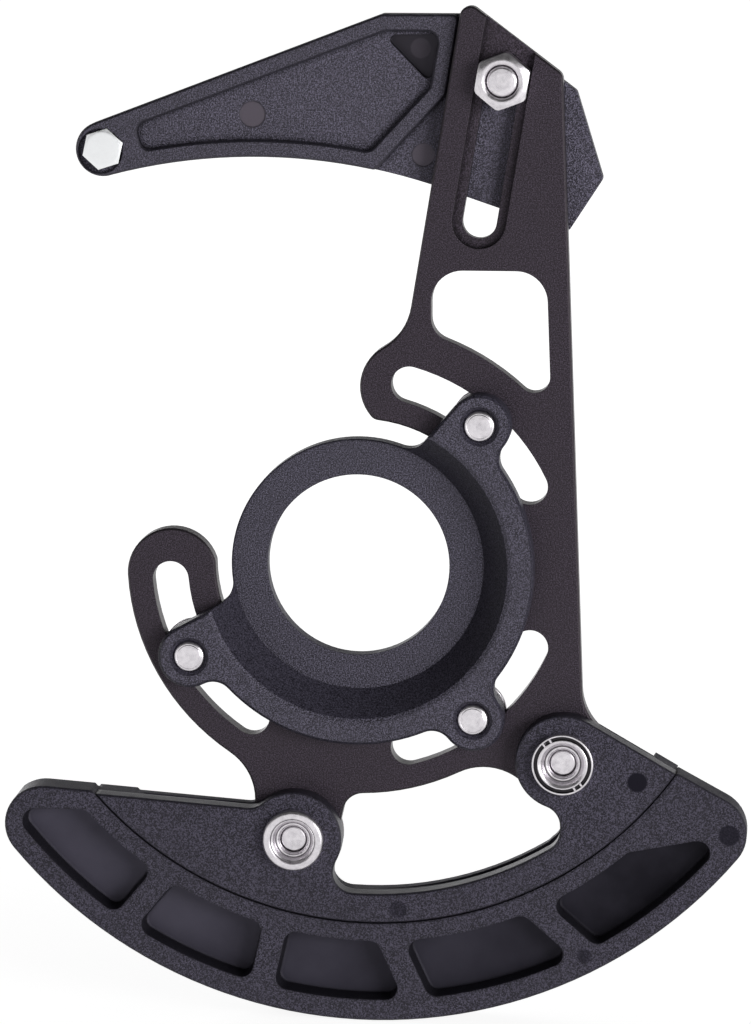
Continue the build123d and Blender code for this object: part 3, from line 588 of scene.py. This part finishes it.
# Studio: a pale round sweep, flat under the part and curved up into a low wall all round it.
# It glows white wherever it is seen or mirrored, a painted light that is a little weaker within 0.6 m of the
# part, and the floor keeps a soft shadow under the part.
floor_height = 1000 * cad_box[0][2] - 0.2
flat_radius, bend_radius, wall_top, sides = 3000, 400, 950, 96
rings = np.geomspace(60, flat_radius, 24)
bend = np.linspace(0, np.pi / 2, 16)[1:]
sweep_radius = np.concatenate([rings, flat_radius + bend_radius * np.sin(bend), [flat_radius + bend_radius]])
sweep_height = np.concatenate([
    np.full(len(rings), floor_height), floor_height + bend_radius * (1 - np.cos(bend)), [wall_top],
])
around = np.linspace(0, 2 * np.pi, sides, endpoint=False)
sweep_rings = np.stack([
    np.outer(sweep_radius, np.cos(around)), np.outer(sweep_radius, np.sin(around)),
    np.repeat(sweep_height[:, None], sides, axis=1),
], axis=-1)
sweep_points = np.vstack([(0, 0, floor_height), sweep_rings.reshape(-1, 3)]) / 1000
index = 1 + np.arange(len(sweep_radius) * sides).reshape(-1, sides)
across = np.roll(index, -1, axis=1)
bands = np.stack([index[1:], across[1:], across[:-1], index[:-1]], axis=-1).reshape(-1, 4)
middle = np.column_stack([np.zeros(sides, int), index[0], across[0]])
sweep_mesh = bpy.data.meshes.new("pale_sweep")
sweep_mesh.from_pydata(sweep_points.tolist(), [], bands.tolist() + middle.tolist())
sweep_mesh.shade_smooth()
pale_sweep = bpy.data.objects.new("pale_sweep", sweep_mesh)
bpy.context.collection.objects.link(pale_sweep)
paper = bpy.data.materials.new("pale_paper")
paper.use_nodes = True
tree = paper.node_tree
shader = tree.nodes["Principled BSDF"]
shader.inputs["Base Color"].default_value = (0.42, 0.42, 0.42, 1)
shader.inputs["Roughness"].default_value = 0.95
shader.inputs["Specular IOR Level"].default_value = 0.0
shader.inputs["Emission Color"].default_value = (1, 1, 1, 1)
ray = wired(tree, "LightPath").outputs
seen = reckoned(tree, "MAXIMUM", ray["Is Camera Ray"], ray["Is Glossy Ray"])
seen = reckoned(tree, "MAXIMUM", seen, ray["Is Transmission Ray"])
place = wired(tree, "TexCoord").outputs["Object"]
level = wired(tree, "VectorMath", {0: place, 1: (1, 1, 0)}, operation="MULTIPLY").outputs[0]
away = wired(tree, "VectorMath", {0: level}, operation="LENGTH").outputs["Value"]
# Painted glow: 0.88 near the part, rising to full white 0.6 m away.
painted_glow = ranged(tree, away, 0.02, 0.60, 0.88, 1.0, "SMOOTHSTEP")
tree.links.new(reckoned(tree, "MULTIPLY", seen, painted_glow), shader.inputs["Emission Strength"])
sweep_mesh.materials.append(paper)

# Light: a soft window in front and to the right, another behind to the left, and a dim even room.
# Both windows face the middle of the part, low enough that its recesses keep their shade.
world = bpy.data.worlds.new("studio")
bpy.context.scene.world = world
world.use_nodes = True
world.node_tree.nodes["Background"].inputs["Color"].default_value = (1, 1, 1, 1)
world.node_tree.nodes["Background"].inputs["Strength"].default_value = 0.11
target = Vector((0.00312, 0.00193, 0.00998))
for name, place, size, power in (
    ("front_window", (1.16, -1.00, 0.22), (0.9, 0.56), 13.2),
    ("rear_window", (-1.15, 1.25, 0.45), (1.2, 1.0), 12.5),
):
    window = bpy.data.lights.new(name, "AREA")
    window.shape = "RECTANGLE"
    window.size, window.size_y = size
    window.energy = power
    window_box = bpy.data.objects.new(name, window)
    window_box.location = place
    window_box.rotation_euler = (target - window_box.location).to_track_quat("-Z", "Y").to_euler()
    bpy.context.collection.objects.link(window_box)

# Camera: a long lens 0.9 m away, a little to the right of the part and above it.
# It faces the same middle as the windows, so that the part fills an upright picture.
azimuth, elevation, distance = np.radians(5.5), np.radians(9.2), 0.900
camera = bpy.data.cameras.new("camera")
camera.lens = 165.16
camera.clip_end = 20
eye = bpy.data.objects.new("camera", camera)
eye.location = target + distance * Vector(
    (np.sin(azimuth) * np.cos(elevation), -np.cos(azimuth) * np.cos(elevation), np.sin(elevation))
)
eye.rotation_euler = (target - eye.location).to_track_quat("-Z", "Y").to_euler()
bpy.context.collection.objects.link(eye)
bpy.context.scene.camera = eye
bpy.context.scene.view_settings.view_transform = "Standard"
